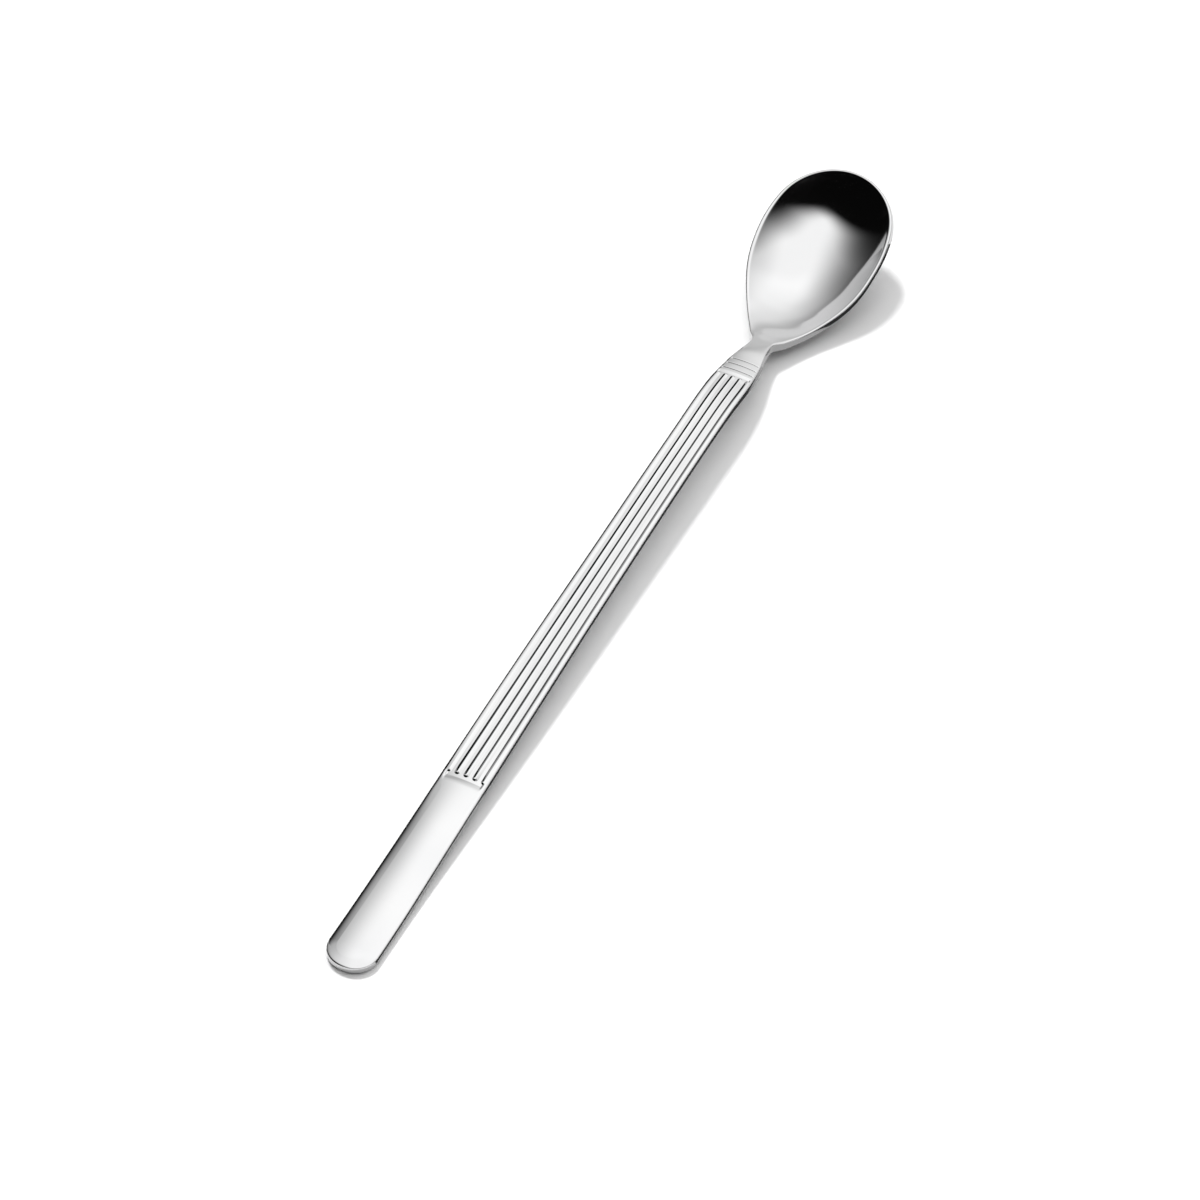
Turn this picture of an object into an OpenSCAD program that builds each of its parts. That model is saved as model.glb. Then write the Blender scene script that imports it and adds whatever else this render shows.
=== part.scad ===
// Long-handled iced-tea spoon, one stamped and coined blank of stainless steel,
// lying on a table: +X from the handle's end to the tip of the bowl, +Z up,
// origin under the middle of the spoon on the table. Millimetres.
// The blank is drawn as its five zones, which meet face to face.

/* [Overall] */
// Length from the end of the handle to the tip of the bowl
overall_len = 200; // [190:1:210]

/* [End pad] */
// Width of the handle at its end
pad_w = 9.2; // [8.4:0.1:10]
// Length of the smooth end pad
pad_len = 43; // [38:1:48]
// Length over which the end is rounded
end_round = 4.4; // [3:0.1:6]
// Squareness of the rounded end, 2 is an ellipse
end_power = 2.1; // [2:0.1:3]
// Curvature of the crown across the pad, per mm
pad_crown = 0.034; // [0.02:0.002:0.044]

/* [Fluted shank] */
// Narrowest width of the shank
shank_w = 7.35; // [6.6:0.05:8]
// Height of the side wall of the handle
edge_t = 1.38; // [1.2:0.02:1.6]
// Width of a groove's floor as a share of the rib pitch
flute_share = 0.36; // [0.24:0.02:0.44]
// Depth of a groove
flute_d = 0.235; // [0.1:0.005:0.3]
// Width of a rib's rounded side
rib_side = 0.52; // [0.4:0.02:0.6]

/* [Collar] */
// Depth of the ring grooves
ring_d = 0.14; // [0.06:0.01:0.18]
// Half width of a ring groove
ring_hw = 0.14; // [0.1:0.01:0.2]

/* [Neck] */
// Width of the waist between neck and bowl
neck_w = 4.1; // [3.6:0.1:4.6]
// Height of the side wall at the waist
neck_t = 2.0; // [1.6:0.1:2.2]

/* [Bowl] */
// Width of the bowl over its drawn outline, inside the rim's outer edge
bowl_w = 24.3; // [23:0.1:25.5]
// Curvature of the hollow across the bowl, per mm
bowl_k = 0.0386; // [0.036:0.0002:0.0396]
// Width of the rim's flat inside the outline
rim_in = 0.3; // [0.2:0.05:0.4]
// Height of the outer face of the rim
rim_t = 1.0; // [0.8:0.05:1.2]

/* [Hidden] */

steel = [0.80, 0.80, 0.80];

// positions along the spoon are set out on a 200 mm length and stretched
kx = overall_len / 200;
x_pad = pad_len * kx;
x_col = 148.9 * kx;
x_nck = 153.4 * kx;
x_bwl = 160.4 * kx;
x_mid = 186.6 * kx;
x_rim = 199.38 * kx;
rings = [149.6, 151.2, 152.75];
rib_a = x_pad + 0.75;
rib_b = 148.1 * kx;
rib_nose = 0.3;
edge_drop = 0.22;
wall_drop = 0.17;
rim_drop = 0.06;
land_h = 0.38;

// design stations [position, value] along the spoon, read with a cubic through them
t_w = [[0, 0.503 * pad_w], [10, 0.498 * pad_w], [26, 0.478 * pad_w], [42, 0.464 * pad_w],
       [62, 0.447 * pad_w], [82, 0.533 * shank_w], [102, 0.511 * shank_w],
       [122, 0.502 * shank_w], [134, 0.5 * shank_w], [142, 0.508 * shank_w],
       [147, 0.503 * shank_w], [150, 0.476 * shank_w], [152, 0.442 * shank_w],
       [154, 0.70 * neck_w], [156, 0.60 * neck_w], [158, 0.52 * neck_w],
       [160, 0.5 * neck_w], [161.5, 0.535 * neck_w], [164.5, 0.7 * neck_w]];
// height of the upper edge of handle and rim
t_ze = [[0, 1.78], [6, 1.76], [14, 1.9], [26, 2.57], [42, 3.64], [62, 4.88], [82, 5.9],
        [102, 6.65], [122, 7.3], [134, 7.5], [142, 7.4], [148, 6.75], [152, 6.2],
        [156, 5.7], [159, 5.1], [162, 4.25], [164, 3.85], [166, 3.72], [168, 3.8], [170, 4.1],
        [174, 5.0], [178, 6.5], [182, 8.1], [186, 9.6], [190, 11.1], [194, 12.6], [200, 14.9]];
// height of the side wall
t_tw = [[0, edge_t], [62, edge_t], [122, edge_t + 0.15], [142, edge_t + 0.3], [152, neck_t],
        [159, neck_t], [162, 0.85 * neck_t], [166, rim_t + 0.35], [170, rim_t + 0.28],
        [176, rim_t + 0.2], [186, rim_t + 0.05], [200, 0.86 * rim_t]];
// crown of the upper face, turning into the hollow of the bowl
t_k = [[0, pad_crown], [36, pad_crown], [48, 0.012], [92, 0.01], [142, 0.01], [149, 0.02],
       [152, 0.028], [156, 0.03], [158, 0.022], [160, 0.006], [162, -0.05 * bowl_k],
       [164, -0.38 * bowl_k], [166, -0.61 * bowl_k], [168, -0.73 * bowl_k], [170, -0.82 * bowl_k],
       [174, -0.87 * bowl_k], [178, -0.95 * bowl_k], [182, -bowl_k], [190, -0.96 * bowl_k], [200, -1.2 * bowl_k]];
// belly of the lower face
t_kb = [[0, 0.007], [62, 0.011], [132, 0.016], [148, 0.025], [154, 0.05], [159, 0.1],
        [162, 0.062], [166, 0.046], [170, 0.038], [174, 0.0348], [182, 0.0375], [190, 0.0375], [200, 0.038]];
// outline of the bowl: half width squared over the distance to the tip
t_p = [[158, 0.05], [162, 0.26], [166, 0.93], [170, 2.1], [174, 3.82], [178, 5.98],
       [182, 8.3], [186, 11], [190, 14.4], [194, 18.6], [200, 24]];

function seg(t, x, i = 0) = (i >= len(t) - 2 || x < t[i + 1][0]) ? i : seg(t, x, i + 1);
function slope(t, i) = let (a = max(0, i - 1), b = min(len(t) - 1, i + 1))
    (t[b][1] - t[a][1]) / (t[b][0] - t[a][0]);
function cubic(t, x) =
    let (i = seg(t, x), h = t[i + 1][0] - t[i][0], u = min(1, max(0, (x - t[i][0]) / h)))
    (2 * u * u * u - 3 * u * u + 1) * t[i][1] + (u * u * u - 2 * u * u + u) * h * slope(t, i)
    + (3 * u * u - 2 * u * u * u) * t[i + 1][1] + (u * u * u - u * u) * h * slope(t, i + 1);
function at(t, x) = cubic(t, x / kx);
function ease(u) = let (v = min(1, max(0, u))) v * v * v * (v * (6 * v - 15) + 10);
function mix(a, b, f) = a + (b - a) * f;

// outlines seen from above, as the square of the half width: handle with its rounded end,
// bowl with an offset o of its rim; they run into each other at the waist
function w_end(x, o) = let (l = end_round - o, d = min(1, max(0, (end_round - x) / l)))
    pow(max(0, 1 - pow(d, end_power)), 1 / end_power);
function w_handle(x, o) = (at(t_w, x) - o) * w_end(x, o);
function w2_bowl(x, o) =
    let (m = 0.2 + 0.8 * ease((x / kx - 162) / 25), s = bowl_w / 24.3)
    (x_rim + o - x) * (at(t_p, x) * s * s / kx + o * m);
function w2(x, oh, ob) =
    let (j = ease((x / kx - 159.5) / 3.4))
    j <= 0 ? pow(w_handle(x, oh), 2)
    : j >= 1 ? w2_bowl(x, ob)
    : pow(mix(w_handle(x, oh), sqrt(max(0, w2_bowl(x, ob))), j), 2);
function far(x) = ease((x / kx - 180) / 14);
function rim_top(x) = 0.2 - 0.08 * far(x);
function rim_out(x) = rim_top(x) + 0.05 + 0.45 * far(x);
function w2_in(x) = w2(x, land_h, -rim_in);
function w2_top(x) = w2(x, 0, rim_top(x));
function w2_out(x) = w2(x, 0, rim_out(x));

// grooves round five ribs with round ends; the rib sides are soft shoulders
function shoulder(u) = 1 - pow(1 - min(1, max(0, u)), 1.15);
function pitch(x) = 0.4 * at(t_w, x);
function rib(x, y, j, p, r) =
    let (cy = abs(j) < 2 ? j * p : sign(j) * 2.5 * p, hy = abs(j) < 2 ? r : r + 0.5 * p,
         qx = abs(x - (rib_a + rib_b) / 2) - ((rib_b - rib_a) / 2 - r), qy = abs(y - cy) - (hy - r),
         l = norm([max(qx, 0), max(qy, 0)]), nose = max(qx, 0) / max(l, 0.000001))
    [l + min(max(qx, qy), 0) - r, mix(rib_side, rib_nose, min(1, 2 * nose * nose))];
function flute(x, y) =
    let (p = pitch(x), g = flute_share * p, r = (p - g) / 2,
         all = [for (j = [-2:2]) rib(x, y, j, p, r)], s = min([for (a = all) a[0]]),
         soft = min([for (a = all) if (a[0] <= s) a[1]]),
         depth = flute_d * (1.3 - 0.3 * ease((x - x_pad) / 4) - 0.2 * ease((x - rib_b + 1.6) / 1.5)),
         outer = ease((abs(y) / p - 1.85) / 0.4) * (1 - ease((x - x_pad - 0.8) / 1.2)),
         cut = s < 0 ? 1 - shoulder(-s / soft) : 1)
    depth * (1 - outer) * cut * (1 - shoulder((x_pad + 0.2 - x) / 0.9)) * (1 - shoulder((x - x_col + 0.6) / 0.6));
function ring(x) = ring_d * max([for (r = rings) exp(-pow((x - r * kx) / ring_hw, 2))]);

function z_edge(x) = at(t_ze, x);
function z_top(x, y) = z_edge(x) + at(t_k, x) * (w2_in(x) - y * y)
    - (x > x_pad - 1 && x < x_col ? flute(x, y) : 0) - (x > x_col && x < x_nck ? ring(x) : 0);
function z_low(x) = z_edge(x) - wall_drop - at(t_tw, x);
function z_bottom(x, y) = z_low(x) - at(t_kb, x) * (w2_out(x) - y * y);

// places on the edges for a station q, and the spine point it is drawn from
function turn(q) = sin(90 * (q - x_mid) / (overall_len - x_mid));
function back(q) = sin(90 * (end_round - q) / end_round);
function along(q, tip, end) = q > x_mid ? x_mid + (tip - x_mid) * turn(q)
    : q < end_round ? end_round - (end_round - end) * back(q) : q;
function e_in(q) = let (x = along(q, x_rim - rim_in, land_h)) [x, sqrt(max(0, w2_in(x)))];
function e_top(q) = let (x = along(q, x_rim + rim_top(x_rim), 0)) [x, sqrt(max(0, w2_top(x)))];
function e_out(q) = let (x = along(q, x_rim + rim_out(x_rim), 0)) [x, sqrt(max(0, w2_out(x)))];
function spine(q) = q > x_mid ? [x_mid + 0.25 * (q - x_mid), 0]
    : q < end_round ? [end_round - 0.4 * (end_round - q), 0] : [q, 0];

// shares of the half width at which the upper face is drawn: foot, flank and crown of every rib
fl = flute_share / 2;
sd = rib_side / pitch(90 * kx);
ribs = [0, 0.5 - fl - sd / 2, 0.5 - fl, 0.5 + fl, 0.5 + fl + sd / 2, 1, 1.5 - fl - sd / 2, 1.5 - fl,
        1.5 + fl, 1.5 + fl + sd / 2, 1.5 + fl + sd];
function v_top(q) = let (w = at(t_w, q), k = mix(w / (w - land_h), 1, ease((q / kx - 149) / 4)))
    concat([for (v = ribs) v * k / 2.5], [0.96]);
v_low = [0.93, 0.75, 0.4, 0];

// one side of a section: over the top, round the edge and back underneath
function side(q) =
    let (a = e_in(q), t = e_top(q), b = e_out(q), s = spine(q),
         z1 = z_edge(a[0]), drop = edge_drop - 0.1 * ease((q / kx - 150.5) / 3.5),
         z2 = z1 - mix(drop, rim_drop, ease((q / kx - 159) / 6)),
         c1 = [a[0], a[1], z1], c2 = [t[0], t[1], z2], c3 = [b[0], b[1], z_low(b[0])])
    concat(
        [for (v = v_top(q)) let (p = mix(s, a, v)) [p[0], p[1], z_top(p[0], p[1])]],
        [c1, mix(c2, c1, 0.2), mix(c2, c3, 0.08), mix(c3, c2, 0.25)],
        [for (v = v_low) let (p = mix(s, b, v)) [p[0], p[1], z_bottom(p[0], p[1])]]);

m = len(side(x_pad));
n = 2 * m - 2;
function loop(q) = let (h = side(q))
    concat(h, [for (i = [m - 2:-1:1]) [h[i][0], -h[i][1], h[i][2]]]);

// a zone of the blank: sections at the stations qs, ending in a flat face or a closed tip
module zone(qs, tip0 = false, tip1 = false) {
    k = len(qs);
    pts = [for (q = qs) each loop(q)];
    function id(i, j) = let (jj = j % n)
        i * n + (((tip0 && i == 0) || (tip1 && i == k - 1)) && jj >= m ? n - jj : jj);
    walls = [for (i = [0:k - 2], j = [0:n - 1]) each
        [[id(i, j), id(i, j + 1), id(i + 1, j + 1)], [id(i, j), id(i + 1, j + 1), id(i + 1, j)]]];
    caps = concat(tip0 ? [] : [[for (j = [n - 1:-1:0]) j]],
                  tip1 ? [] : [[for (j = [0:n - 1]) (k - 1) * n + j]]);
    translate([-overall_len / 2, 0, 0])
        polyhedron(points = pts, faces = concat(walls, caps), convexity = 6);
}

function steps(a, b, c) = [for (i = [0:c]) a + (b - a) * i / c];

module end_pad() {
    color(steel) zone(concat(steps(0, end_round, 9), steps(8, x_pad - 1.2, 5),
        steps(x_pad - 0.7, x_pad, 3)), tip0 = true);
}
module fluted_shank() {
    color(steel) zone(concat(steps(x_pad, rib_a + 1, 10), steps(rib_a + 4, rib_b - 3, 14),
        steps(rib_b - 1.2, x_col, 11)));
}
module collar() {
    color(steel) zone(concat([x_col], [for (r = rings, d = [-2, -1, -0.5, 0, 0.5, 1, 2]) r * kx + d * ring_hw],
        [x_nck]));
}
module neck() {
    color(steel) zone(steps(x_nck, x_bwl, 10));
}
module bowl() {
    color(steel) zone(concat(steps(x_bwl, 166 * kx, 9), steps(167.5 * kx, x_mid, 13),
        [for (a = [1:14]) x_mid + (overall_len - x_mid) * a / 14]), tip1 = true);
}

end_pad();
fluted_shank();
collar();
neck();
bowl();
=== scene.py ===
import math

import bpy
import numpy as np
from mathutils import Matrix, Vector


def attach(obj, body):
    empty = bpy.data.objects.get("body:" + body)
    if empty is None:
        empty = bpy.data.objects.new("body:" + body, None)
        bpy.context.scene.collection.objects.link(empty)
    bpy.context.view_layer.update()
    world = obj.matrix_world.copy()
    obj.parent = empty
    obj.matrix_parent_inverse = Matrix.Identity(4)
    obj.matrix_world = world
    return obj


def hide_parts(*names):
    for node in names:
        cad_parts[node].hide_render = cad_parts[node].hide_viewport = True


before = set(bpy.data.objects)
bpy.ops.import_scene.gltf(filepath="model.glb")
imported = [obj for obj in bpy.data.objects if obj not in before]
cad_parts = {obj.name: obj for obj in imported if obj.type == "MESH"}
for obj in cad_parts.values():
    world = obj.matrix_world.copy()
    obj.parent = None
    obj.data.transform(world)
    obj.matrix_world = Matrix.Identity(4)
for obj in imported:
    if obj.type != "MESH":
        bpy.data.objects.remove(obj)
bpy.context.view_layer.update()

# ---------------------------------------------------------------------------
# Shape of the spoon. Millimetres, x from the end of the handle (-2) to the tip
# of the bowl (198), y to the left, z up from the table.
# ---------------------------------------------------------------------------
X_END, X_TIP = -2.0, 198.0
CENTRE = (X_END + X_TIP) / 2
X_PAD, X_COL, X_NCK, X_BWL, X_MID = 41.0, 146.9, 151.4, 158.4, 184.6
X_RIM, RIM_IN = 197.38, 0.3
RINGS = (147.6, 149.2, 150.75)
RING_D, RING_HW = 0.14, 0.12
RIB_A, RIB_B = 41.75, 146.1
FLUTE_SHARE, FLUTE_WIDER, FLUTE_D, RIB_SIDE, RIB_NOSE = 0.34, 0.06, 0.235, 0.52, 0.3
END_ROUND, END_POWER = 4.4, 2.1
EDGE_DROP, RIM_DROP, LAND = 0.17, 0.06, 0.38
PAD_W, SHANK_W, EDGE_T, NECK_W, NECK_T = 9.2, 7.35, 1.38, 4.1, 2.0
RIM_T = 1.0


def spline(table):
    """Curve with steady curvature through design stations [position, value]."""
    x = np.array([p[0] for p in table], float)
    y = np.array([p[1] for p in table], float)
    n, h = len(x), np.diff(x)
    a, r = np.zeros((n, n)), np.zeros(n)
    a[0, 0] = a[-1, -1] = 1.0
    for i in range(1, n - 1):
        a[i, i - 1], a[i, i], a[i, i + 1] = h[i - 1], 2 * (h[i - 1] + h[i]), h[i]
        r[i] = 6 * ((y[i + 1] - y[i]) / h[i] - (y[i] - y[i - 1]) / h[i - 1])
    m = np.linalg.solve(a, r)

    def value(q):
        c = np.clip(np.asarray(q, float), x[0], x[-1])
        i = np.clip(np.searchsorted(x, c, side="right") - 1, 0, n - 2)
        d, e, hh = c - x[i], x[i + 1] - c, h[i]
        return ((m[i] * e ** 3 + m[i + 1] * d ** 3) / (6 * hh)
                + (y[i] / hh - m[i] * hh / 6) * e + (y[i + 1] / hh - m[i + 1] * hh / 6) * d)
    return value


# half width of the handle
t_w = spline([(-2, 0.503 * PAD_W), (8, 0.498 * PAD_W), (24, 0.478 * PAD_W), (40, 0.464 * PAD_W),
              (60, 0.447 * PAD_W), (80, 0.533 * SHANK_W), (100, 0.511 * SHANK_W),
              (120, 0.502 * SHANK_W), (132, 0.5 * SHANK_W), (140, 0.508 * SHANK_W),
              (145, 0.503 * SHANK_W), (148, 0.476 * SHANK_W), (150, 0.442 * SHANK_W),
              (152, 0.70 * NECK_W), (154, 0.60 * NECK_W), (156, 0.52 * NECK_W),
              (158, 0.5 * NECK_W), (159.5, 0.535 * NECK_W), (162.5, 0.7 * NECK_W)])
# height of the upper edge of handle and rim
t_ze = spline([(-2, 1.78), (4, 1.75), (12, 1.9), (24, 2.57), (40, 3.64), (60, 4.88), (80, 5.9),
               (100, 6.65), (120, 7.3), (132, 7.5), (140, 7.4), (146, 6.75), (150, 6.2),
               (152, 5.95), (154, 5.71), (156, 5.32), (157.5, 4.96), (159, 4.53), (160.5, 4.11), (162, 3.85),
               (164, 3.71), (166, 3.79), (168, 4.08), (172, 5.0),
               (176, 6.5), (180, 8.1), (184, 9.6), (188, 11.1), (192, 12.6), (198, 14.89)])
# height of the side wall
t_tw = spline([(-2, EDGE_T + 0.03), (20, EDGE_T), (60, EDGE_T), (120, EDGE_T + 0.15), (140, EDGE_T + 0.3), (150, NECK_T),
               (157, NECK_T), (160, 0.85 * NECK_T), (164, RIM_T + 0.35), (168, RIM_T + 0.28),
               (174, RIM_T + 0.2), (184, RIM_T + 0.05), (198, 0.86 * RIM_T)])
# crown of the upper face, turning into the hollow of the bowl
t_k = spline([(-2, 0.034), (16, 0.034), (34, 0.034), (46, 0.012), (90, 0.010), (140, 0.010), (147, 0.02),
              (150, 0.028), (152, 0.028), (154, 0.03), (156, 0.022), (157.5, 0.010), (159, 0.002), (160.5, -0.004),
              (162, -0.0145), (164, -0.0235), (166, -0.0282), (168, -0.0316), (171, -0.0331), (175, -0.0363), (180, -0.0387),
              (188, -0.037), (198, -0.046)])
# belly of the lower face
t_kb = spline([(-2, 0.007), (60, 0.011), (130, 0.016), (146, 0.025), (152, 0.05), (157, 0.10),
               (160, 0.062), (164, 0.0470), (168, 0.0385), (172, 0.0350), (180, 0.0375), (188, 0.0375), (198, 0.038)])
# outline of the bowl: half width squared over the distance to the tip
t_p = spline([(156, 0.05), (160, 0.261), (164, 0.926), (168, 2.094), (172, 3.82), (176, 5.98),
              (180, 8.275), (184, 11.02), (188, 14.4), (192, 18.6), (198, 24)])


def ease(u):
    v = np.clip(u, 0.0, 1.0)
    return v * v * v * (v * (6 * v - 15) + 10)


def w_end(x, o):
    d = np.clip((X_END + END_ROUND - x) / (END_ROUND - o), 0.0, 1.0)
    return np.maximum(0.0, 1 - d ** END_POWER) ** (1 / END_POWER)


def w_handle(x, o):
    return (t_w(x) - o) * w_end(x, o)


def w2_bowl(x, o):
    return (X_RIM + o - x) * (t_p(x) + o * (0.2 + 0.8 * ease((x - 160) / 25)))


def w2(x, o_handle, o_bowl):
    """Square of the half width: handle, then bowl, run into each other at the waist."""
    j = ease((x - 157.5) / 3.4)
    b = w2_bowl(x, o_bowl)
    m = (1 - j) * w_handle(x, o_handle) + j * np.sqrt(np.maximum(0.0, b))
    return np.where(j >= 1, b, m * m)


def rim_top(x):
    """Offset of the outer edge of the rim's flat from the drawn outline."""
    return 0.20 - 0.08 * ease((x - 178) / 14)


def rim_out(x):
    """Offset of the widest line of the rim."""
    return rim_top(x) + 0.05 + 0.45 * ease((x - 178) / 14)


def w2_in(x):
    return w2(x, LAND, -RIM_IN)


def w2_top(x):
    return w2(x, 0.0, rim_top(x))


def w2_out(x):
    return w2(x, 0.0, rim_out(x))


def shoulder(u):
    """Soft shoulder: 0 at the foot of a wall, 1 where it has run out."""
    return 1 - (1 - np.clip(u, 0.0, 1.0)) ** 1.15


def rib_distance(x, y):
    """Distance from the nearest of the five ribs with round ends, below zero on it, and its shoulder."""
    p = 0.4 * t_w(x)
    g = (FLUTE_SHARE + FLUTE_WIDER * ease((x - 42) / 40)) * p
    r = (p - g) / 2
    s = np.full(np.broadcast(x, y).shape, 1e9)
    soft = np.full(s.shape, RIB_SIDE)
    for j in range(-2, 3):
        cy = j * p if abs(j) < 2 else math.copysign(2.5, j) * p
        hy = r if abs(j) < 2 else r + 0.5 * p
        qx = np.abs(x - (RIB_A + RIB_B) / 2) - ((RIB_B - RIB_A) / 2 - r)
        qy = np.abs(y - cy) - (hy - r)
        far = np.hypot(np.maximum(qx, 0), np.maximum(qy, 0))
        d = far + np.minimum(np.maximum(qx, qy), 0) - r
        nose = np.maximum(qx, 0) / np.maximum(far, 1e-9)
        soft = np.where(d < s, RIB_SIDE + (RIB_NOSE - RIB_SIDE) * np.minimum(1.0, 2 * nose ** 2), soft)
        s = np.minimum(s, d)
    return s, soft


def flute(x, y):
    """Depth of the grooves round the ribs: flat floor, round shoulders."""
    s, soft = rib_distance(x, y)
    depth = FLUTE_D * (1.3 - 0.3 * ease((x - 41) / 4) - 0.2 * ease((x - 144.5) / 1.5))
    depth = depth * (1 - ease((np.abs(y) / (0.4 * t_w(x)) - 1.85) / 0.4) * (1 - ease((x - 41.8) / 1.2)))
    cut = np.where(s < 0, 1 - shoulder(-s / soft), 1.0)
    cut = cut * (1 - shoulder((X_PAD + 0.2 - x) / 1.1)) * (1 - shoulder((x - X_COL + 0.6) / 0.6))
    return np.where((x > 40.0) & (x < X_COL), depth * cut, 0.0)


def ring(x):
    return RING_D * np.max([np.exp(-((x - r) / RING_HW) ** 2) for r in RINGS], axis=0)


def dish(x, y, w_sq):
    """Half width squared on the spine, 0 on the edge."""
    return w_sq - y * y


def z_top(x, y):
    return t_ze(x) + t_k(x) * dish(x, y, w2_in(x)) - flute(x, y) - ring(x)


def z_low(x):
    return t_ze(x) - EDGE_DROP - t_tw(x)


def z_bottom(x, y):
    return z_low(x) - t_kb(x) * dish(x, y, w2_out(x))


def edge(q, w_sq, tip, end):
    """Plan of an edge at the stations q; both ends are drawn as fans."""
    a, b = X_END + END_ROUND, math.pi / 2
    x = np.where(q > X_MID, X_MID + (tip - X_MID) * np.sin(b * (q - X_MID) / (X_TIP - X_MID)),
                 np.where(q < a, a - (a - end) * np.sin(b * (a - q) / END_ROUND), q))
    return np.stack([x, np.sqrt(np.maximum(0.0, w_sq(x)))], -1)


def edge_in(q):
    return edge(q, w2_in, X_RIM - RIM_IN, X_END + LAND)


def edge_top(q):
    return edge(q, w2_top, X_RIM + float(rim_top(X_RIM)), X_END)


def edge_out(q):
    return edge(q, w2_out, X_RIM + float(rim_out(X_RIM)), X_END)


def spine(q):
    a = X_END + END_ROUND
    x = np.where(q > X_MID, X_MID + 0.25 * (q - X_MID), np.where(q < a, a - 0.4 * (a - q), q))
    return np.stack([x, np.zeros_like(x)], -1)


N_TOP, N_LOW, N_FIL = 66, 22, 7


def fillet(p0, p1, p2):
    """Rounded corner from p0 to p2 about p1, both ends included."""
    u = np.linspace(0, 1, N_FIL)[:, None, None]
    return (1 - u) ** 2 * p0 + 2 * u * (1 - u) * p1 + u * u * p2


def toward(a, b, d):
    """The point at distance d from a on the way to b, at most 0.45 of it."""
    v = b - a
    l = np.linalg.norm(v, axis=-1, keepdims=True)
    return a + v * np.minimum(0.45, d / np.maximum(l, 1e-9))


def half_section(q):
    """Points of one side of the sections at q, as an array [around, along, xyz]."""
    a, t, b, s = edge_in(q), edge_top(q), edge_out(q), spine(q)
    z1, z3 = t_ze(a[:, 0]), z_low(b[:, 0])
    c1 = np.column_stack([a, z1])
    pad = 1 - ease((q - 37) / 4)
    drop = EDGE_DROP + 0.05 - 0.10 * ease((q - 148.5) / 3.5)
    c2 = np.column_stack([t, z1 - drop + (drop - RIM_DROP) * ease((q - 157) / 6)])
    c3 = np.column_stack([b, z3])
    bowl = ease((q - 156) / 8)
    f1 = (0.22 + 0.08 * bowl + 1.1 * pad)[:, None]
    f2 = (0.10 + 0.12 * bowl)[:, None]
    f3 = (0.42 - 0.12 * bowl)[:, None]
    la = np.linalg.norm(a - s, axis=1, keepdims=True)
    lb = np.linalg.norm(b - s, axis=1, keepdims=True)
    v_top = np.linspace(0, 1, N_TOP)[:, None] * (1 - f1 / la)[:, 0]
    top = s[None] + (a - s)[None] * v_top[..., None]
    top = np.concatenate([top, z_top(top[..., 0], top[..., 1])[..., None]], -1)
    v_low = np.linspace(1, 0, N_LOW)[:, None] * (1 - f3 / lb)[:, 0]
    low = s[None] + (b - s)[None] * v_low[..., None]
    low = np.concatenate([low, z_bottom(low[..., 0], low[..., 1])[..., None]], -1)
    r1 = fillet(top[-1], c1, toward(c1, c2, f1))
    r2 = fillet(toward(c2, c1, f2), c2, toward(c2, c3, f2))
    r3 = fillet(toward(c3, c2, f3), c3, low[0])
    return np.concatenate([top, r1[1:], r2, r3[:-1], low], 0)


def slope_normal(f, x, y, up):
    h = 0.01
    dx = (f(x + h, y) - f(x - h, y)) / (2 * h)
    dy = (f(x, y + h) - f(x, y - h)) / (2 * h)
    n = np.stack([-dx, -dy, np.ones_like(dx)], -1) * up
    return n / np.linalg.norm(n, axis=-1, keepdims=True)


def steps(a, b, d):
    return np.linspace(a, b, max(2, int(round((b - a) / d)) + 1))[:-1]


stations = np.concatenate([
    steps(X_END, X_END + END_ROUND, 0.17), steps(X_END + END_ROUND, 40.4, 0.75), steps(40.4, X_PAD, 0.1),
    steps(X_PAD, 43.6, 0.06), steps(43.6, 143.0, 0.45), steps(143.0, X_COL, 0.06),
    steps(X_COL, X_NCK, 0.055), steps(X_NCK, X_BWL, 0.14), steps(X_BWL, X_MID, 0.26),
    np.linspace(X_MID, X_TIP, 64)])

half = half_section(stations).transpose(1, 0, 2)              # [along, around, xyz]
rows, m = half.shape[:2]
loop = 2 * m - 2
mirror = half[:, m - 2:0:-1] * np.array([1, -1, 1])
grid = np.concatenate([half, mirror], 1)                      # [along, whole loop, xyz]
grid[:, :, 0] -= CENTRE
grid[0, m:], grid[-1, m:] = grid[0, m - 2:0:-1], grid[-1, m - 2:0:-1]

# surface normals: mean of the faces round each point, exact on the two large faces
dj = grid[:, np.arange(1, loop + 1) % loop] - grid
q_n = np.cross(grid[1:, np.arange(1, loop + 1) % loop] - grid[:-1], grid[1:] - grid[:-1, np.arange(1, loop + 1) % loop])
norm = np.zeros_like(grid)
for di in (0, 1):
    for dj_ in (0, 1):
        norm[di:rows - 1 + di] += np.roll(q_n, dj_, axis=1)
centre_line = (half[:, 0] + half[:, m - 1]) / 2
centre_line[:, 0] -= CENTRE
if np.sum(norm[rows // 2] * (grid[rows // 2] - centre_line[rows // 2])) < 0:
    norm = -norm
for end in (0, rows - 1):                                     # the two halves meet on one edge
    twin = norm[end] + norm[end, (-np.arange(loop)) % loop]
    norm[end] = twin
norm /= np.maximum(np.linalg.norm(norm, axis=-1, keepdims=True), 1e-12)
gx, gy = grid[..., 0] + CENTRE, grid[..., 1]
top_id = np.r_[0:N_TOP - 1, loop - (N_TOP - 2):loop]
low_id = np.arange(m - N_LOW + 1, m + N_LOW - 2)
norm[:, top_id] = slope_normal(z_top, gx[:, top_id], gy[:, top_id], 1.0)
norm[:, low_id] = slope_normal(z_bottom, gx[:, low_id], gy[:, low_id], -1.0)


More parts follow.
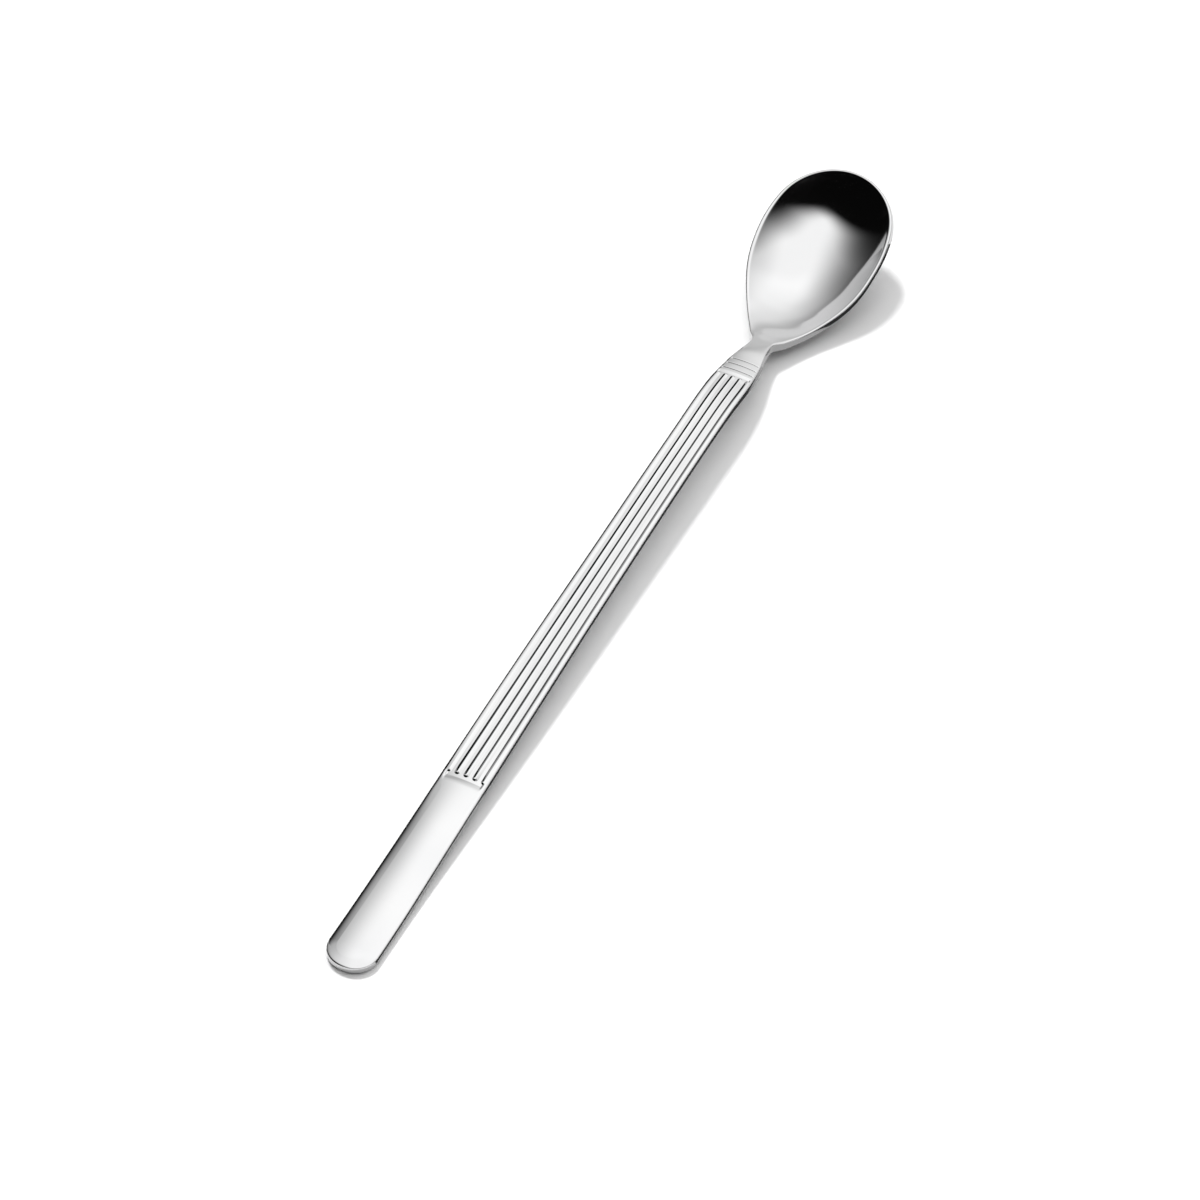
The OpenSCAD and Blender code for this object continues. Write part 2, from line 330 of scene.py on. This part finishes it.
def zone(name, x0, x1):
    """One zone of the blank as a closed mesh between the stations x0 and x1."""
    i0 = int(np.argmin(np.abs(stations - x0)))
    i1 = int(np.argmin(np.abs(stations - x1)))
    k = i1 - i0 + 1
    ids = np.arange(k * loop).reshape(k, loop)
    fold = np.r_[0:m, m - 2:0:-1]                             # left id for every place in the loop
    if i0 == 0:
        ids[0] = ids[0, fold]
    if i1 == rows - 1:
        ids[-1] = ids[-1, fold]
    used, flat = np.unique(ids, return_inverse=True)
    ids = flat.reshape(k, loop)
    pts = grid[i0:i1 + 1].reshape(-1, 3)[used]
    nrm = norm[i0:i1 + 1].reshape(-1, 3)[used]
    nxt = np.roll(ids, -1, axis=1)
    quads = np.stack([ids[:-1], ids[1:], nxt[1:], nxt[:-1]], -1).reshape(-1, 4)
    faces = [tuple(int(v) for v in f) for f in quads]
    if i0 > 0:
        faces.append(tuple(int(v) for v in ids[0]))
    if i1 < rows - 1:
        faces.append(tuple(int(v) for v in ids[-1, ::-1]))
    me = bpy.data.meshes.new(name)
    me.from_pydata((pts * 0.001).tolist(), [], faces)
    me.update()
    if sum(p.normal.dot(Vector(nrm[p.vertices[0]])) for p in me.polygons[:400]) < 0:
        me.flip_normals()
    me.polygons.foreach_set("use_smooth", [True] * len(me.polygons))
    me.normals_split_custom_set_from_vertices(nrm.tolist())
    me.update()
    ob = bpy.data.objects.new(name, me)
    bpy.context.scene.collection.objects.link(ob)
    return ob


# ---------------------------------------------------------------------------
# Polished stainless steel
# ---------------------------------------------------------------------------
def node(tree, kind, **values):
    n = tree.nodes.new(kind)
    for key, v in values.items():
        setattr(n, key, v)
    return n


steel = bpy.data.materials.new("polished_steel")
steel.use_nodes = True
tr = steel.node_tree
bsdf = tr.nodes["Principled BSDF"]
bsdf.inputs["Metallic"].default_value = 1.0
co = node(tr, "ShaderNodeTexCoord")

# cloudy tone of rolled and buffed sheet
cloud = node(tr, "ShaderNodeTexNoise")
cloud.inputs["Scale"].default_value = 55.0
cloud.inputs["Detail"].default_value = 3.0
tone = node(tr, "ShaderNodeValToRGB")
tone.color_ramp.elements[0].position, tone.color_ramp.elements[0].color = 0.3, (0.582, 0.583, 0.587, 1)
tone.color_ramp.elements[1].position, tone.color_ramp.elements[1].color = 0.7, (0.616, 0.616, 0.616, 1)
tr.links.new(co.outputs["Object"], cloud.inputs["Vector"])
tr.links.new(cloud.outputs["Fac"], tone.inputs["Fac"])
tr.links.new(tone.outputs["Color"], bsdf.inputs["Base Color"])

# fine polishing lines along the handle vary the gloss
stretch = node(tr, "ShaderNodeMapping")
stretch.inputs["Scale"].default_value = (60.0, 2600.0, 900.0)
lines = node(tr, "ShaderNodeTexNoise")
lines.inputs["Scale"].default_value = 1.0
lines.inputs["Detail"].default_value = 4.0
rough = node(tr, "ShaderNodeMapRange")
rough.inputs["To Min"].default_value = 0.045
rough.inputs["To Max"].default_value = 0.095
tr.links.new(co.outputs["Object"], stretch.inputs["Vector"])
tr.links.new(stretch.outputs["Vector"], lines.inputs["Vector"])
tr.links.new(lines.outputs["Fac"], rough.inputs["Value"])
tr.links.new(rough.outputs["Result"], bsdf.inputs["Roughness"])

for name, x0, x1 in (("end_pad", X_END, X_PAD), ("fluted_shank", X_PAD, X_COL), ("collar", X_COL, X_NCK),
                     ("neck", X_NCK, X_BWL), ("bowl", X_BWL, X_TIP)):
    piece = zone("polished_" + name, x0, x1)
    piece.data.materials.append(steel)
    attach(piece, "root")
    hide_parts(name)

# ---------------------------------------------------------------------------
# Floor, studio and camera
# ---------------------------------------------------------------------------
floor_me = bpy.data.meshes.new("floor")
S = 2.2
floor_me.from_pydata([(-S, -S, 0), (S, -S, 0), (S, S, 0), (-S, S, 0)], [], [(0, 1, 2, 3)])
floor = bpy.data.objects.new("floor", floor_me)
bpy.context.scene.collection.objects.link(floor)
paper = bpy.data.materials.new("white_paper")
paper.use_nodes = True
pb = paper.node_tree.nodes["Principled BSDF"]
pb.inputs["Base Color"].default_value = (0.95, 0.95, 0.95, 1)
pb.inputs["Roughness"].default_value = 0.9
pb.inputs["Specular IOR Level"].default_value = 0.1
floor_me.materials.append(paper)

PANEL, BACKDROP = 1.88, 1.05
AWAY = Vector((0.8914, 0.4533, 0.0))         # level direction away from the viewer
RIGHT = Vector((0.4533, -0.8914, 0.0))
UP = Vector((0, 0, 1))


def card(name, corners, dark, soft=None):
    """Studio card seen only in the gloss of the steel; soft: heights between which it fades out."""
    me = bpy.data.meshes.new(name)
    me.from_pydata(corners, [], [tuple(range(i, i + 4)) for i in range(0, len(corners), 4)])
    ob = bpy.data.objects.new(name, me)
    bpy.context.scene.collection.objects.link(ob)
    mat = bpy.data.materials.new(name)
    mat.use_nodes = True
    t = mat.node_tree
    t.nodes.clear()
    em = node(t, "ShaderNodeEmission")
    em.inputs["Strength"].default_value = dark
    end = node(t, "ShaderNodeOutputMaterial")
    if soft:
        at = node(t, "ShaderNodeTexCoord")
        xyz = node(t, "ShaderNodeSeparateXYZ")
        fade = node(t, "ShaderNodeMapRange", interpolation_type="SMOOTHSTEP")
        fade.inputs["From Min"].default_value, fade.inputs["From Max"].default_value = soft
        clear = node(t, "ShaderNodeBsdfTransparent")
        mix = node(t, "ShaderNodeMixShader")
        t.links.new(at.outputs["Object"], xyz.inputs["Vector"])
        t.links.new(xyz.outputs["Z"], fade.inputs["Value"])
        t.links.new(fade.outputs["Result"], mix.inputs["Fac"])
        t.links.new(em.outputs["Emission"], mix.inputs[1])
        t.links.new(clear.outputs["BSDF"], mix.inputs[2])
        t.links.new(mix.outputs["Shader"], end.inputs["Surface"])
    else:
        t.links.new(em.outputs["Emission"], end.inputs["Surface"])
    me.materials.append(mat)
    ob.visible_camera = ob.visible_diffuse = ob.visible_transmission = ob.visible_shadow = False
    return ob


# low dark cards beside the handle draw the left edges of handle and ribs
for name, x0, x1, soft in (("card_pad", -0.082, -0.034, (0.012, 0.024)), ("card_left", -0.034, 0.088, (0.005, 0.0145)),
                           ("card_neck", 0.088, 0.099, (-0.001, 0.004))):
    low_card = card(name, [(x0, 0, -0.007), (x1, 0, -0.007), (x1, 0, 0.026), (x0, 0, 0.026)], 0.015, soft)
    low_card.location = (0, 0.03, 0.0082)
    low_card.rotation_euler = (0, -0.043, 0)


def strip(name, xs, side, gap, wide, dark, z=0.05):
    """Sheet of painted shade on the table beside the spoon. It is hidden from the camera and seen only in the gloss of
    the steel, so the side walls and rim that mirror it look dark: gap and width along its outline.
    """
    c = []
    for x0, x1 in zip(xs[:-1], xs[1:]):
        e = [side * (math.sqrt(float(w2_out(x))) + gap(x)) for x in (x0, x1)]
        f = [side * (math.sqrt(float(w2_out(x))) + gap(x) + wide) for x in (x0, x1)]
        c += [(x0, f[0], z), (x1, f[1], z), (x1, e[1], z), (x0, e[0], z)]
    card(name, [((x - CENTRE) * 0.001, y * 0.001, h * 0.001) for x, y, h in c], dark)


def handle_gap(x):
    """The side wall mirrors the table at 0.41 of its own height: the sheet of painted shade makes it dark from its top
    down to a given depth.
    """
    down = float(np.interp(x, [0, 40, 54, 146, 152, 158], [0.8, 0.8, 2.4, 2.4, 0.6, 0.3]))
    at = x - 0.8 * float(t_ze(x))
    return max(0.15, 0.41 * (float(t_ze(at)) - EDGE_DROP - down))


def bowl_gap(x):
    return float(np.interp(x, [163, 168, 175, 181], [4.2, 3.3, 1.6, -0.6]))


# sheets of painted shade seen only in the gloss: dark ones beside handle, bowl, tip and left rim, grey ones beside neck
# and waist
strip("painted_shade_handle", np.linspace(2, 158, 78), -1, handle_gap, 5.0, 0.05, 0.08)
strip("painted_shade_neck", np.linspace(143, 157, 24), -1, lambda x: -0.8, 12.0, 0.42)
strip("painted_shade_waist", np.linspace(157, 180, 36), -1, lambda x: -0.5, 9.0, 0.55)
strip("painted_shade_bowl", np.linspace(163, 197.9, 68), -1, bowl_gap, 24.0, 0.03, 0.08)
card("painted_shade_tip", [(0.0999, -0.030, 0.0001), (0.108, -0.030, 0.0001), (0.108, -0.003, 0.0001), (0.0999, -0.0015, 0.0001)], 0.1)
strip("painted_shade_left", np.linspace(164, 196, 16), 1, lambda x: 5.0, 14.0, 0.05)

world = bpy.data.worlds.new("studio")
bpy.context.scene.world = world
world.use_nodes = True
wt = world.node_tree
wt.nodes.clear()


def math_node(op, a, b=None):
    n = node(wt, "ShaderNodeMath", operation=op)
    for i, v in enumerate((a, b)):
        if v is None:
            continue
        if isinstance(v, (int, float)):
            n.inputs[i].default_value = v
        else:
            wt.links.new(v, n.inputs[i])
    return n.outputs[0]


def smooth(v, a, b, lo=0.0, hi=1.0, interp="SMOOTHSTEP"):
    n = node(wt, "ShaderNodeMapRange", interpolation_type=interp)
    n.inputs["From Min"].default_value, n.inputs["From Max"].default_value = a, b
    n.inputs["To Min"].default_value, n.inputs["To Max"].default_value = lo, hi
    wt.links.new(v, n.inputs["Value"])
    return n.outputs["Result"]


def along(v):
    n = node(wt, "ShaderNodeVectorMath", operation="DOT_PRODUCT")
    n.inputs[1].default_value = v
    wt.links.new(way.outputs["Generated"], n.inputs[0])
    return n.outputs["Value"]


way = node(wt, "ShaderNodeTexCoord")
df, dr, dz = along(AWAY), along(RIGHT), along(UP)
# arc: 0 level behind the spoon, 90 overhead, 180 level in front of it
arc = math_node("MULTIPLY", math_node("ARCTAN2", dz, df), 180 / math.pi)
# light from the right, dying away to the left
lo = math_node("ADD", math_node("MULTIPLY", arc, -0.004), -0.92)
wide = math_node("ADD", math_node("MULTIPLY", arc, -0.0028), 1.451)
left = smooth(math_node("DIVIDE", math_node("SUBTRACT", dr, lo), wide), 0, 1)
# edges of the overhead diffuser: in front, and slanting at the front left
corner = smooth(along((0.62 * RIGHT + 0.607 * AWAY + 0.486 * UP).normalized()), -0.094, 0.195)
front = smooth(along((-0.024 * RIGHT + 0.703 * AWAY + 0.648 * UP).normalized()), 0.129, 0.423)
# dimmer towards the horizon and far to the right, a little brighter half way up behind
back = math_node("SUBTRACT", 1.0, math_node("MULTIPLY", math_node("POWER", smooth(arc, 75, 0, interp="LINEAR"), 1.66), 0.48))
back = math_node("MULTIPLY", back, smooth(arc, 19, 30, 0.78, 1.0))
right = math_node("SUBTRACT", 1.0, math_node("MULTIPLY", smooth(dr, 0.49, 1.09), 0.55))
glow = math_node("MULTIPLY", math_node("MULTIPLY", left, corner), math_node("MULTIPLY", front, back))
# a softbox over the handle, seen only from level faces
lift = math_node("MULTIPLY", math_node("MULTIPLY", smooth(arc, 34, 50), smooth(arc, 84, 64)), smooth(dr, -0.35, 0.0, 0, 0.08))
glow = math_node("MULTIPLY", math_node("MULTIPLY", glow, right), math_node("ADD", lift, 1.0))
# low white backdrop behind the table
wall = node(wt, "ShaderNodeMix", data_type="FLOAT")
wt.links.new(smooth(arc, 16.7, 19.7), wall.inputs["Factor"])
wt.links.new(smooth(dr, -0.95, -0.62, 0.15 * BACKDROP, BACKDROP), wall.inputs["A"])
wt.links.new(math_node("MULTIPLY", glow, PANEL), wall.inputs["B"])
seen = math_node("ADD", wall.outputs["Result"], 0.004)
ray = node(wt, "ShaderNodeLightPath")
# low softboxes on the viewer's side and at the left, kept off the floor
right_box = smooth(along((-0.527 * AWAY + 0.369 * RIGHT - 0.766 * UP).normalized()), 0.03, 0.16)
right_box = math_node("MULTIPLY", right_box, smooth(df, -0.3, -0.55, 0, 1.2))
level_box = math_node("MULTIPLY", smooth(dz, 0.39, 0.29), smooth(df, -0.6, -0.78, 0, 1.2))
front_box = math_node("MAXIMUM", right_box, level_box)
left_box = math_node("MULTIPLY", smooth(dz, 0.18, 0.10), smooth(dr, -0.5, -0.72, 0, 0.8))
boxes = math_node("MULTIPLY", math_node("MAXIMUM", front_box, left_box), ray.outputs["Is Glossy Ray"])
seen = math_node("MAXIMUM", seen, boxes)
level = node(wt, "ShaderNodeMix", data_type="FLOAT")
wt.links.new(ray.outputs["Is Camera Ray"], level.inputs["Factor"])
wt.links.new(seen, level.inputs["A"])
level.inputs["B"].default_value = 1.0
bg = node(wt, "ShaderNodeBackground")
wt.links.new(level.outputs["Result"], bg.inputs["Strength"])
out = node(wt, "ShaderNodeOutputWorld")
wt.links.new(bg.outputs["Background"], out.inputs["Surface"])

key = bpy.data.lights.new("key", "SUN")
key.energy = 2.1
key.angle = math.radians(9)
key_ob = bpy.data.objects.new("key", key)
bpy.context.scene.collection.objects.link(key_ob)
src = Vector((0.5, 0.48, 1.0))
key_ob.rotation_euler = (-src).to_track_quat("-Z", "Y").to_euler()
key_ob.visible_glossy = False

bpy.context.scene.view_settings.view_transform = "Standard"
bpy.context.scene.view_settings.look = "None"

cam = bpy.data.cameras.new("camera")
cam.sensor_fit, cam.sensor_width, cam.lens = "HORIZONTAL", 36.0, 152.903
cam.clip_start, cam.clip_end = 0.05, 20.0
cam_ob = bpy.data.objects.new("camera", cam)
bpy.context.scene.collection.objects.link(cam_ob)
cam_ob.location = (-0.544754, -0.274177, 0.667372)
aim = Vector((-0.006517, -0.00047, 0.0))
cam_ob.rotation_euler = (aim - cam_ob.location).to_track_quat("-Z", "Y").to_euler()
bpy.context.scene.camera = cam_ob
